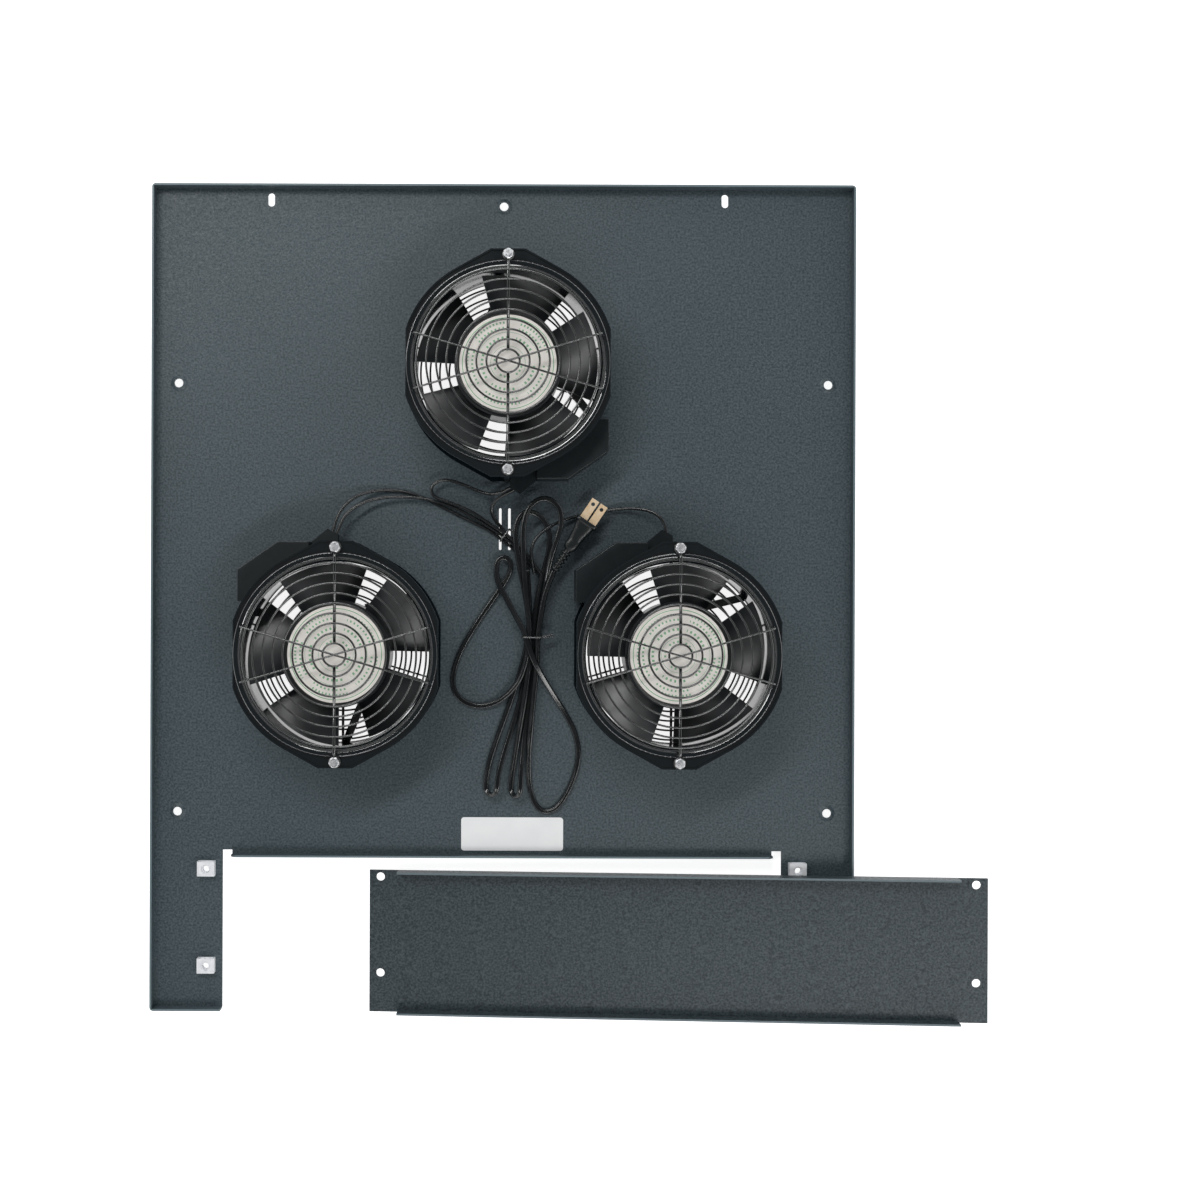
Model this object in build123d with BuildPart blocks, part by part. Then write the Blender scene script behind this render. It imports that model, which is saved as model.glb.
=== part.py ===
from build123d import *
import math
import os

os.makedirs("parts", exist_ok=True)

# Rack cabinet roof panel with three alternating-current fans, a power cord
# and a loose 19 inch cover. Origin: centre of the screw pattern around the
# edge, on the panel's outer face. +Z is the inner (fan) side.

# Panel
sheet_t = 1.5
panel_w = 551.0
panel_h = 648.0
flange_h = 11.0
corner_r = 3.0
bend_r = 2.0
leg_l = 120.5
rail_x = 232.55
leg_edge = 12.25
notch_half = rail_x - leg_edge
notch_y = leg_l - panel_h / 2
relief_w = 7.6
relief_d = 4.5
flange_chamfer = 3.5

# Screw holes around the edge, formed as countersinks
edge_hole_in = 19.7
edge_hole_x = panel_w / 2 - edge_hole_in
edge_hole_y = 168.75
front_hole_in = 15.5
front_hole_y = panel_h / 2 - front_hole_in
edge_hole_r = 3.4
dimple_r = 6.4
dimple_h = 1.3
dimple_land = 0.8

# Slots
top_slot_w = 5.4
top_slot_l = 10.6
top_slot_in = 10.3
top_slot_y = panel_h / 2 - top_slot_in
top_slot_x = (-183.5, 174.2)
tie_slot_w = 2.0
tie_slot_l = 33.0
tie_slot_x = -2.2
tie_slot_pitch = 7.2
tie_slot_y = 54.5

# Rack nuts
nut_end = 34.4
nut_y_low = nut_end - panel_h / 2
nut_pitch = 76.2
square_hole = 9.5
cage_w = 13.5
cage_l = 11.6
cage_t = 0.8
cage_h = 6.2
cage_nut_af = 9.4
cage_nut_t = 4.4
cage_nut_r = 2.6
cage_gap = 0.25

# Label plate
label_w = 80.4
label_h = 26.3
label_t = 0.3
label_r = 2.4
label_x = 8.0
label_in = 17.5
label_y = notch_y + label_in

# Fan frame
fan_depth = 51.0
barrel_r = 73.0
flat_out = 4.5
fan_w = 2 * (barrel_r + flat_out)
bolt_out = 8.0
bolt_span = 2 * (barrel_r + bolt_out)
ear_in = 5.0
ear_span = bolt_span + 2 * ear_in
ear_flat = 26.0
rim_out = 8.5
rim_r = barrel_r + rim_out
barrel_wall = 2.5
throat_r = barrel_r - barrel_wall
mouth_round = 5.5
mouth_out = 4.2
mouth_rim = barrel_r + mouth_out
mouth_band = 7.0
mouth_edge = 0.8
flange_t = 4.5
ear_drop = 3.0
rib_w = 1.3
rib_h = 1.0
bolt_hole_r = 2.3
boss_r = 4.8
opening_gap = 1.0
panel_opening_r = throat_r + opening_gap
strut_angles = (43.0, 169.0, 288.0)
strut_skew = -33.0
strut_w = 6.0
strut_short = 0.2112
strut_t = 5.0
base_r = 38.0
strut_l = (throat_r - base_r - strut_short) / math.cos(math.radians(strut_skew))
base_t = 3.5
tube_r = 10.5
bearing_r = 8.0
tube_top = 37.0

# Terminal cover and lead connector, local to the fan
term_out = 4.8
term_x = -(barrel_r + term_out)
term_y0 = 40.0
term_y1 = 64.7
term_x2 = -46.8
term_rise = 13.2
term_top = barrel_r + term_rise
term_x3 = -22.5
term_h = 26.0
term_gap = 0.3
conn_seat = 8.5
conn_tip = (-10.0, barrel_r + 23.5)
conn_end = (-1.9, barrel_r + 19.2)
conn_in = (-8.0, barrel_r + 6.0)
conn_low = term_top
conn_z = 8.0
conn_h = 10.0

# Motor and impeller
shaft_r = 3.0
run_gap = 0.03
bearing_w = 5.0
bearing_low = 8.0
bearing_high = 30.0
stator_r = 34.0
stator_low = 16.0
stator_high = 32.0
slot_count = 8
slot_w = 6.0
slot_in = 15.0
slot_out = 28.0
coil_h = 3.6
cup_r = 39.2
cup_wall = 1.5
cup_low = 9.5
hub_top = 44.0
hub_ring_t = 1.6
hub_edge_r = 1.5
boss_out = 6.5
sticker_r = 37.0
sticker_t = 0.25
blade_count = 5
tip_gap = 1.1
blade_tip_r = throat_r - tip_gap
blade_half = 27.5
blade_skew = -4.0
blade_t = 1.8
blade_low = 11.0
blade_high = 42.0
blade_camber = 4.0
blade_turn = {"top": 45.1, "left": 24.2, "right": 43.4}

# Wire guards
ring_first = 8.7
ring_pitch = 7.55
ring_count = 9
wire = 1.5
weld = 0.3
guard_rise = 4.5
spoke_w = 2.3
cross_angle = 16.5
cross_r = 74.6
eyelet_r = 4.6

# Fan screws and nuts
screw_r = 2.0
screw_gap = 0.05
head_r = 4.0
head_h = 2.6
nut_af = 7.0
nut_t = 3.2
screw_out = 1.5

# Fan places: x, y and turn about the axis
fans = {"top": (3.4, 178.0, 180.0), "left": (-126.3, -43.0, 0.0), "right": (133.7, -43.0, 0.0)}

# Cover
cover_edge = 8.75
cover_w = 2 * (rail_x + cover_edge)
cover_h = 112.3
cover_end_gap = 1.8
cover_flange_l = 2 * (notch_half - cover_end_gap)
cover_flange_h = 12.0
cover_hole_r = 3.35
cover_hole_top = 5.3
cover_left = -104.8
cover_in = 12.5
cover_top = notch_y - cover_in
mark_x = 5.5
mark_w = 1.2
mark_l = 8.0
mark_t = 0.5

# Cords
lead_r = 1.3
cord_r = 1.9
tie_t = 1.0
tie_w = 1.6
tie_y = 49.5
tie_angle = 54.0
tie_top = 11.6
hank_t = 10.4
hank_edge = 2.0
cord_gap = 0.8
twist_y = -30.5
twist_w = 2.4
twist_t = 0.7
twist_tail = 14.0
plug_z = 12.0

floor_z = -(guard_rise + 2 * wire - weld)


def save(part, name):
    part.label = name
    export_step(part, f"parts/{name}.step")


# Panel

notch_top = notch_y + sheet_t
relief_y = notch_y + relief_d
legs_h = notch_y + panel_h / 2
flange_end = notch_half - relief_w

with BuildPart() as top_panel:
    with BuildSketch():
        Rectangle(panel_w, panel_h)
        with Locations((0, -panel_h / 2)):
            Rectangle(2 * notch_half, 2 * legs_h, mode=Mode.SUBTRACT)
    extrude(amount=flange_h)
    corners = top_panel.edges().filter_by(Axis.Z).filter_by(
        lambda e: abs(e.center().X) > notch_half + sheet_t and abs(e.center().Y) > panel_h / 2 - 1)
    fillet(corners, corner_r)
    # The tray inside the flanges; it runs out over the inner edges of the legs.
    with BuildSketch(Plane.XY.offset(sheet_t)):
        Rectangle(panel_w - 2 * sheet_t, panel_h - 2 * sheet_t)
        with Locations((0, notch_top - panel_h)):
            Rectangle(2 * notch_half, 2 * panel_h, mode=Mode.SUBTRACT)
        for side in (-1, 1):
            with Locations((side * (notch_half - relief_w / 2), -panel_h / 4)):
                Rectangle(relief_w, panel_h / 2 - 2 * sheet_t)
    extrude(amount=flange_h, mode=Mode.SUBTRACT)
    # Relief cuts where the notch flange ends
    with BuildSketch():
        for side in (-1, 1):
            with Locations((side * (notch_half - relief_w / 2), relief_y - relief_d)):
                Rectangle(relief_w, 2 * relief_d)
    extrude(amount=flange_h, mode=Mode.SUBTRACT)
    flange_ends = top_panel.edges().filter_by(Axis.Y).filter_by(
        lambda e: abs(e.center().Z - flange_h) < 0.1 and abs(abs(e.center().X) - flange_end) < 0.1
        and notch_y - 0.1 < e.center().Y < notch_top + 0.1)
    chamfer(flange_ends, flange_chamfer)
    # Fan openings and their bolts
    with BuildSketch():
        for x, y, turn in fans.values():
            with Locations((x, y)):
                Circle(panel_opening_r)
            with Locations((x, y - bolt_span / 2), (x, y + bolt_span / 2)):
                Circle(bolt_hole_r)
        for x in top_slot_x:
            with Locations(Location((x, top_slot_y), 90)):
                SlotOverall(top_slot_l, top_slot_w)
        for k in (0, 1):
            with Locations(Location((tie_slot_x + k * tie_slot_pitch, tie_slot_y), 90)):
                SlotOverall(tie_slot_l, tie_slot_w)
        for side in (-1, 1):
            with Locations((side * rail_x, nut_y_low), (side * rail_x, nut_y_low + nut_pitch)):
                Rectangle(square_hole, square_hole)
    extrude(amount=sheet_t, mode=Mode.SUBTRACT)
    # Formed countersinks, raised on the inner side
    edge_holes = [(edge_hole_x, edge_hole_y), (-edge_hole_x, edge_hole_y), (0, front_hole_y),
                  (edge_hole_x, -edge_hole_y), (-edge_hole_x, -edge_hole_y)]
    with Locations(*[(x, y, sheet_t + dimple_h / 2) for x, y in edge_holes]):
        Cone(dimple_r, edge_hole_r + dimple_land, dimple_h)
    sink = sheet_t + dimple_h - dimple_land
    with Locations(*[(x, y, sink / 2) for x, y in edge_holes]):
        Cone(dimple_r - 0.6, edge_hole_r, sink, mode=Mode.SUBTRACT)
    with Locations(*[(x, y, sheet_t) for x, y in edge_holes]):
        Cylinder(edge_hole_r, 4 * sheet_t, mode=Mode.SUBTRACT)
    # Bends along the outer edges
    outer = top_panel.edges().group_by(Axis.Z)[0].filter_by(GeomType.LINE).filter_by(
        lambda e: abs(e.center().X) > panel_w / 2 - 0.1 or abs(e.center().Y) > panel_h / 2 - 0.1)
    fillet(outer, bend_r)
save(top_panel.part, "top_panel")

with BuildPart() as label_plate:
    with BuildSketch(Plane((label_x, label_y, sheet_t))):
        RectangleRounded(label_w, label_h, label_r)
    extrude(amount=label_t)
save(label_plate.part, "label_plate")


# Rack nuts

def nut_places():
    return [(side * rail_x, nut_y_low + k * nut_pitch) for side in (-1, 1) for k in (0, 1)]


tongue_w = square_hole - 2 * cage_gap
with BuildPart() as nut_cages:
    with Locations(*[(x, y, sheet_t) for x, y in nut_places()]):
        Box(cage_w, cage_l, cage_h, align=(Align.CENTER, Align.CENTER, Align.MIN))
    with Locations(*[(x, y, sheet_t + cage_t) for x, y in nut_places()]):
        Box(cage_w - 2 * cage_t, cage_l, cage_h - 2 * cage_t,
            align=(Align.CENTER, Align.CENTER, Align.MIN), mode=Mode.SUBTRACT)
    # Two tongues go through the square hole and hook under the sheet.
    with Locations(*[(x + s * (tongue_w - cage_t) / 2, y, sheet_t) for x, y in nut_places() for s in (-1, 1)]):
        Box(cage_t, square_hole - 2.5, sheet_t + cage_t + cage_gap, align=(Align.CENTER, Align.CENTER, Align.MAX))
    with Locations(*[(x + s * (tongue_w / 2 + 0.4), y, -cage_gap) for x, y in nut_places() for s in (-1, 1)]):
        Box(cage_t * 2.2, square_hole - 2.5, cage_t, align=(Align.CENTER, Align.CENTER, Align.MAX))
    with Locations(*[(x, y, 0) for x, y in nut_places()]):
        Cylinder(cage_nut_r + 0.8, 4 * cage_h, mode=Mode.SUBTRACT)
save(nut_cages.part, "nut_cages")

with BuildPart() as cage_nuts:
    with Locations(*[(x, y, sheet_t + cage_t) for x, y in nut_places()]):
        Box(cage_nut_af, cage_nut_af, cage_nut_t, align=(Align.CENTER, Align.CENTER, Align.MIN))
    with Locations(*[(x, y, sheet_t + cage_t) for x, y in nut_places()]):
        Cylinder(cage_nut_r, 4 * cage_nut_t, mode=Mode.SUBTRACT)
save(cage_nuts.part, "cage_nuts")


# Fan pieces, built about each fan's own axis

def fan_plane(name, z=sheet_t):
    x, y, turn = fans[name]
    return Plane(origin=(x, y, z), x_dir=(math.cos(math.radians(turn)), math.sin(math.radians(turn)), 0),
                 z_dir=(0, 0, 1))


def frame_outline(inset=0.0):
    # Round flange cut flat at the sides, with a bolt ear at each end
    Circle(rim_r - inset)
    Rectangle(ear_flat - inset, ear_span - 2 * inset)
    make_hull()
    Rectangle(fan_w - 2 * inset, 2 * ear_span, mode=Mode.INTERSECT)


def build_frame(name):
    base = fan_plane(name)
    side = Plane(origin=base.origin, x_dir=base.x_dir, z_dir=-base.y_dir)
    axis = Axis(base.origin, base.z_dir)
    ear_top = fan_depth - ear_drop
    with BuildPart() as frame:
        # Flange on the panel and, lower than the mouth, the flange with a raised edge
        for low, high in ((0, flange_t), (ear_top - flange_t, ear_top + rib_h)):
            with BuildSketch(base.offset(low)):
                frame_outline()
            extrude(amount=high - low)
        with BuildSketch(base.offset(ear_top)):
            frame_outline(rib_w)
        extrude(amount=2 * rib_h, mode=Mode.SUBTRACT)
        # Barrel with a bolt boss at each end
        with BuildSketch(base):
            Circle(barrel_r)
            for end in (-1, 1):
                with Locations((0, end * bolt_span / 2)):
                    Circle(boss_r)
                with Locations((0, end * (barrel_r + bolt_span / 2) / 2)):
                    Rectangle(boss_r, bolt_span / 2 - barrel_r + 2)
        extrude(amount=fan_depth)
        # Rounded rim of the mouth, on the side away from the panel
        with BuildSketch(side):
            with BuildLine():
                Polyline((throat_r, fan_depth), (throat_r, fan_depth - mouth_band),
                         (mouth_rim, fan_depth - mouth_band), (mouth_rim, fan_depth - mouth_edge))
                JernArc((mouth_rim, fan_depth - mouth_edge), (0, 1), mouth_edge, 90)
                Line((mouth_rim - mouth_edge, fan_depth), (throat_r, fan_depth))
            make_face()
        revolve(axis=axis)
        # Throat that opens into the mouth in a quarter round
        with BuildSketch(side):
            with BuildLine():
                Polyline((0, fan_depth), (0, 0), (throat_r, 0), (throat_r, fan_depth - mouth_round))
                JernArc((throat_r, fan_depth - mouth_round), (0, 1), mouth_round, -90)
                Line((throat_r + mouth_round, fan_depth), (0, fan_depth))
            make_face()
        revolve(axis=axis, mode=Mode.SUBTRACT)
        # Motor base, carried by three slanted struts
        with BuildSketch(base):
            Circle(base_r)
        extrude(amount=base_t)
        with BuildSketch(base):
            for angle in strut_angles:
                with PolarLocations(0, 1, start_angle=90 - angle):
                    with Locations(Location(((base_r + throat_r) / 2, 0), strut_skew)):
                        Rectangle(strut_l, strut_w)
            Circle(barrel_r - 0.5, mode=Mode.INTERSECT)
            Circle(base_r - 2, mode=Mode.SUBTRACT)
        extrude(amount=strut_t)
        with BuildSketch(base):
            Circle(tube_r)
        extrude(amount=tube_top)
        with BuildSketch(base.offset(base_t)):
            Circle(bearing_r)
        extrude(amount=tube_top, mode=Mode.SUBTRACT)
        with BuildSketch(base):
            with Locations((0, -bolt_span / 2), (0, bolt_span / 2)):
                Circle(bolt_hole_r)
        extrude(amount=fan_depth, mode=Mode.SUBTRACT)
    save(frame.part, f"{name}_fan_frame")


def build_terminal(name):
    base = fan_plane(name)
    with BuildPart() as cover:
        with BuildSketch(base.offset(flange_t)):
            with BuildLine():
                Polyline((term_x, term_y0), (term_x, term_y1), (term_x2, term_top), (term_x3, term_top),
                         (term_x3, term_y0), close=True)
            make_face()
            Circle(barrel_r + term_gap, mode=Mode.SUBTRACT)
        extrude(amount=term_h)
    save(cover.part, f"{name}_terminal_cover")
    with BuildPart() as plug:
        with BuildSketch(base.offset(conn_z)):
            with BuildLine():
                Polyline((term_x3, conn_low - conn_seat), (term_x3, conn_low), conn_tip, conn_end,
                         (conn_end[0], conn_low), conn_in, close=True)
            make_face()
        extrude(amount=conn_h)
    save(plug.part, f"{name}_lead_connector")


def build_motor(name):
    base = fan_plane(name)
    with BuildPart() as stator:
        with BuildSketch(base.offset(stator_low)):
            Circle(stator_r)
            Circle(tube_r, mode=Mode.SUBTRACT)
            with PolarLocations((slot_in + slot_out) / 2, slot_count):
                Rectangle(slot_out - slot_in, slot_w, mode=Mode.SUBTRACT)
        extrude(amount=stator_high - stator_low)
    save(stator.part, f"{name}_stator_core")
    with BuildPart() as coil:
        for low in (stator_low - coil_h, stator_high):
            with BuildSketch(base.offset(low)):
                Circle(slot_out + 1)
                Circle(slot_in - 2, mode=Mode.SUBTRACT)
            extrude(amount=coil_h)
        with BuildSketch(base.offset(stator_low)):
            with PolarLocations((slot_in + slot_out) / 2, slot_count):
                Rectangle(slot_out - slot_in - 0.6, slot_w - 0.6)
        extrude(amount=stator_high - stator_low)
    save(coil.part, f"{name}_stator_windings")
    with BuildPart() as bearings:
        for low in (bearing_low, bearing_high):
            with BuildSketch(base.offset(low)):
                Circle(bearing_r)
                Circle(shaft_r + run_gap, mode=Mode.SUBTRACT)
            extrude(amount=bearing_w)
    save(bearings.part, f"{name}_bearings")
    with BuildPart() as shaft:
        with BuildSketch(base.offset(base_t + 0.5)):
            Circle(shaft_r)
        extrude(amount=hub_top - cup_wall - base_t - 0.5)
    save(shaft.part, f"{name}_shaft")
    with BuildPart() as cup:
        with BuildSketch(base.offset(cup_low)):
            Circle(cup_r)
        extrude(amount=hub_top - cup_low)
        fillet(cup.faces().sort_by(Axis.Z)[-1].edges(), hub_edge_r)
        with BuildSketch(base.offset(cup_low)):
            Circle(cup_r - cup_wall)
        extrude(amount=hub_top - cup_low - cup_wall, mode=Mode.SUBTRACT)
        with BuildSketch(base.offset(tube_top + 0.8)):
            Circle(boss_out)
        extrude(amount=hub_top - tube_top - 0.8 - cup_wall / 2)
        with BuildSketch(base.offset(cup_low)):
            Circle(shaft_r)
        extrude(amount=hub_top - cup_low - cup_wall, mode=Mode.SUBTRACT)
    save(cup.part, f"{name}_rotor_cup")
    with BuildPart() as sticker:
        with BuildSketch(base.offset(hub_top)):
            Circle(sticker_r)
        extrude(amount=sticker_t)
    save(sticker.part, f"{name}_hub_sticker")


def blade_section(reach):
    # Low end, middle and high end of a blade's camber line at one reach: the
    # blade spans a fixed angle seen from the axis
    half = reach * math.tan(math.radians(blade_half))
    drift = reach * math.tan(math.radians(blade_skew)) * (reach - cup_r) / (blade_tip_r - cup_r) / 2
    low = (-half + drift, blade_low)
    high = (half + drift, blade_high)
    mid = (drift + blade_camber * 0.7, (blade_low + blade_high) / 2 - blade_camber)
    return low, mid, high


def build_impeller(name):
    base = fan_plane(name)
    ring_out = cup_r + hub_ring_t
    with BuildPart() as impeller:
        for k in range(blade_count):
            turn = 90 - (blade_turn[name] + 360 / blade_count * (k + 0.5))
            turn -= fans[name][2]
            across = Plane(origin=base.origin, x_dir=base.x_dir, z_dir=base.z_dir).rotated((0, 0, turn))
            for reach in (cup_r - 8, blade_tip_r + 4):
                with BuildSketch(Plane(origin=across.from_local_coords((reach, 0, 0)),
                                       x_dir=across.y_dir, z_dir=across.x_dir)):
                    with BuildLine():
                        lower = ThreePointArc(*blade_section(reach))
                        upper = ThreePointArc(*[(u, v + blade_t) for u, v in blade_section(reach)])
                        Line(lower @ 0, upper @ 0)
                        Line(lower @ 1, upper @ 1)
                    make_face()
            loft(ruled=True)
        with BuildSketch(base):
            Circle(blade_tip_r)
        extrude(amount=fan_depth, mode=Mode.INTERSECT)
        with BuildSketch(base.offset(cup_low)):
            Circle(ring_out)
        extrude(amount=hub_top - cup_low - hub_edge_r)
        with BuildSketch(base):
            Circle(cup_r)
        extrude(amount=fan_depth, mode=Mode.SUBTRACT)
    save(impeller.part, f"{name}_impeller")


def build_guard(name, side, plane):
    # Rings welded to two half spokes that run to the bolts, and a wire cross over them
    ring_z = guard_rise
    cross_z = guard_rise + wire - weld
    spoke_z = guard_rise - wire + weld
    foot = bolt_span / 2 - eyelet_r
    with BuildPart() as guard:
        with BuildSketch(plane.offset(ring_z)):
            for n in reversed(range(ring_count)):
                Circle(ring_first + n * ring_pitch + wire / 2)
                Circle(ring_first + n * ring_pitch - wire / 2, mode=Mode.SUBTRACT)
        extrude(amount=wire)
        side_plane = Plane(origin=plane.origin, x_dir=plane.y_dir, z_dir=plane.x_dir)
        lift = 1 if side_plane.y_dir.dot(plane.z_dir) > 0 else -1
        for end in (-1, 1):
            with BuildSketch(side_plane):
                with BuildLine():
                    Polyline((end * (ring_first - wire / 2), lift * spoke_z),
                             (end * (foot - wire), lift * spoke_z), (end * (foot - wire), 0),
                             (end * (foot + wire), 0), (end * (foot + wire), lift * wire),
                             (end * foot, lift * wire), (end * foot, lift * (spoke_z + wire)),
                             (end * (ring_first - wire / 2), lift * (spoke_z + wire)), close=True)
                make_face()
            extrude(amount=spoke_w / 2, both=True)
        with BuildSketch(plane):
            with Locations((0, -bolt_span / 2), (0, bolt_span / 2)):
                Circle(eyelet_r)
                Circle(bolt_hole_r, mode=Mode.SUBTRACT)
        extrude(amount=wire)
        with BuildSketch(plane.offset(cross_z)):
            for angle in (cross_angle, -cross_angle):
                with Locations(Location((0, 0), angle)):
                    Rectangle(2 * cross_r, wire)
        extrude(amount=wire)
        with BuildSketch(plane):
            for angle in (cross_angle, -cross_angle):
                with Locations(Location((0, 0), angle)):
                    with Locations((-cross_r + wire / 2, 0), (cross_r - wire / 2, 0)):
                        Rectangle(wire, wire)
        extrude(amount=cross_z + wire)
    save(guard.part, f"{name}_{side}_guard")


for fan in fans:
    build_frame(fan)
    build_terminal(fan)
    build_motor(fan)
    build_impeller(fan)
    near = fan_plane(fan, sheet_t + fan_depth)
    build_guard(fan, "inner", near)
    far = fan_plane(fan, 0)
    build_guard(fan, "outer", Plane(origin=far.origin, x_dir=far.x_dir, z_dir=(0, 0, -1)))


# Fan screws and nuts

bolt_places = [(x, y + s * bolt_span / 2) for x, y, turn in fans.values() for s in (-1, 1)]
screw_top = sheet_t + fan_depth + wire + nut_t + screw_out

with BuildPart() as fan_screws:
    with BuildSketch(Plane.XY.offset(-wire - head_h)):
        with Locations(*bolt_places):
            Circle(head_r)
    extrude(amount=head_h)
    with BuildSketch(Plane.XY.offset(-wire)):
        with Locations(*bolt_places):
            Circle(screw_r)
    extrude(amount=screw_top + wire)
save(fan_screws.part, "fan_screws")

with BuildPart() as fan_nuts:
    with BuildSketch(Plane.XY.offset(sheet_t + fan_depth + wire)):
        with Locations(*bolt_places):
            RegularPolygon(nut_af / 2, 6, major_radius=False, rotation=8)
            Circle(screw_r + screw_gap, mode=Mode.SUBTRACT)
    extrude(amount=nut_t)
save(fan_nuts.part, "fan_nuts")


# Cover

# It lies on the inner corner of the right leg's end flange, its left end on the table.
cover_tilt = math.degrees(math.atan2(flange_h - floor_z, notch_half - cover_left))
cover_plane = Plane(origin=(cover_left, cover_top - cover_h / 2, floor_z)).rotated((0, -cover_tilt, 0))
hole_low = cover_h / 2 - cover_hole_top - nut_pitch

with BuildPart() as cover_panel:
    with BuildSketch(cover_plane):
        with Locations((cover_w / 2, 0)):
            Rectangle(cover_w, cover_h)
    extrude(amount=sheet_t)
    with BuildSketch(cover_plane):
        for edge in (-1, 1):
            with Locations((cover_w / 2, edge * (cover_h - sheet_t) / 2)):
                Rectangle(cover_flange_l, sheet_t)
    extrude(amount=cover_flange_h)
    holes = [(cover_w / 2 + s * rail_x, hole_low + k * nut_pitch) for s in (-1, 1) for k in (0, 1)]
    with BuildSketch(cover_plane):
        with Locations(*holes):
            Circle(cover_hole_r)
    extrude(amount=sheet_t, mode=Mode.SUBTRACT)
    # Small pressed marks beside each hole
    with BuildSketch(cover_plane.offset(sheet_t)):
        with Locations(*[(x + s * mark_x, y) for x, y in holes for s in (-1, 1)]):
            SlotOverall(mark_l, mark_w, rotation=90)
    extrude(amount=mark_t)
save(cover_panel.part, "cover_panel")


# Cords

def cord(name, points, radius, along=None):
    # Straight runs joined by arcs, each as large as its two runs allow
    spots = [Vector(*p) for p in points]
    runs = [spots[i + 1] - spots[i] for i in range(len(spots) - 1)]
    bends = []
    for a, b in zip(runs, runs[1:]):
        turn = math.radians(a.get_angle(b))
        bends.append(0.45 * min(a.length, b.length) / math.tan(turn / 2))
    with BuildPart() as tube:
        with BuildLine() as path:
            FilletPolyline(*spots, radius=bends)
        with BuildSketch(Plane(origin=spots[0], z_dir=runs[0].normalized())):
            Circle(radius)
        sweep(path=path.wires()[0])
    expected = math.pi * radius ** 2 * path.wires()[0].length
    print(f"{name}: length {path.wires()[0].length:.0f}, volume ratio {tube.part.volume / expected:.4f},"
          f" bends {', '.join(f'{r:.0f}' for r in bends)}")
    save(tube.part, name)


cord("left_lead_a", [(-133.2, 49.0, 14), (-130.5, 61.8, 14), (-123.3, 73.6, 12.5), (-110.4, 82.5, 8),
                     (-90.4, 85.6, 4), (-70.0, 82.1, 3.1), (-49.5, 72.6, 3.1), (-28.2, 61.6, 3.1),
                     (-10.9, 53.7, 3.1), (-1.1, 46.1, 3.1), (12.8, 35.6, 3.6), (21.4, 23.0, 5)], lead_r)
cord("left_lead_b", [(-130.6, 46.8, 14), (-126.2, 61.8, 14), (-116.2, 71.2, 13), (-101.6, 77.7, 10),
                     (-80.7, 79.8, 7), (-59.5, 77.9, 6.4), (-38.3, 71.6, 6.4), (-19.5, 61.4, 6.4),
                     (-7.7, 54.0, 6.2), (0.6, 48.4, 6.2), (15.1, 36.3, 6.5), (24.5, 23.7, 6.5)], lead_r)
cord("top_lead_a", [(8.2, 88.0, 16), (-2.9, 80.8, 15), (-14.7, 81.5, 11.5), (-30.4, 88.7, 9),
                    (-42.2, 92.7, 8.5), (-51.4, 92.0, 8.8), (-57.0, 86.5, 9.4), (-55.0, 79.2, 9.6),
                    (-43.0, 75.2, 9.6), (-24.9, 68.3, 9.5), (-8.4, 56.6, 9.3), (2.3, 50.7, 9.2),
                    (15.1, 38.5, 9.3), (26.1, 25.3, 8), (31.0, 18.0, 7)], lead_r)
cord("top_lead_b", [(10.2, 85.6, 12), (0.2, 80.8, 11), (-6.3, 76.6, 8.5), (-9.7, 70.2, 5),
                    (-7.3, 62.4, 3.4), (-1.4, 56.1, 3.1), (2.2, 50.6, 3.1), (12.0, 41.9, 3.1),
                    (20.6, 30.1, 3.1), (27.7, 19.0, 3.8)], lead_r)
cord("right_lead", [(128.0, 48.6, 14), (126.6, 59.4, 14), (119.0, 67.4, 12), (104.5, 71.1, 8),
                    (85.9, 70.2, 4.5), (67.1, 66.7, 4), (50.6, 62.8, 6), (37.2, 56.9, 10),
                    (26.2, 48.4, 12.4), (21.6, 38.4, 12.6), (22.8, 27.6, 11), (24.6, 19.0, 9)], lead_r)
cord("left_loop", [(18.2, -44.6, 8), (16.7, -58.7, 7.6), (9.2, -72.1, 7), (-1.8, -81.3, 5),
                   (-16.4, -86.1, 3.8), (-29.8, -82.9, 3.8), (-38.6, -73.9, 3.8), (-39.6, -60.5, 3.8),
                   (-33.7, -42.4, 3.8), (-24.2, -25.8, 3.8), (-14.0, -10.1, 3.8), (-4.6, 4.9, 3.8),
                   (-1.8, 15.9, 4.5), (-0.8, 24.9, 6), (5.2, 30.2, 8), (12.7, 29.0, 9), (18.8, 22.3, 9)],
     cord_r)
cord("right_loop", [(27.2, -40.6, 9), (31.2, -57.9, 8), (39.5, -74.5, 6), (49.0, -89.6, 4.2),
                    (57.6, -105.4, 3.8), (60.8, -122.7, 3.8), (57.3, -140.0, 3.8), (49.8, -156.5, 3.8),
                    (41.5, -167.0, 3.8), (32.0, -168.6, 3.8), (25.0, -161.3, 3.8), (21.4, -147.9, 3.8),
                    (20.6, -133.6, 4.5), (21.0, -119.4, 5.5), (22.2, -105.1, 7)], cord_r)
cord("top_loop", [(18.2, 4.8, 10), (16.6, 19.7, 13), (15.8, 36.0, 15.5), (15.4, 51.5, 16),
                  (17.3, 64.8, 16), (22.8, 74.2, 15.5), (31.0, 78.5, 15), (39.2, 76.1, 15),
                  (45.0, 68.7, 15), (45.6, 57.0, 15), (41.1, 43.0, 15), (36.5, 29.0, 14),
                  (31.9, 14.2, 11)], cord_r)
cord("plug_cord", [(40.3, 22.1, plug_z), (36.9, 14.2, 11), (33.9, 5.6, 9.5), (31.5, -3.0, 8)], cord_r)

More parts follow.
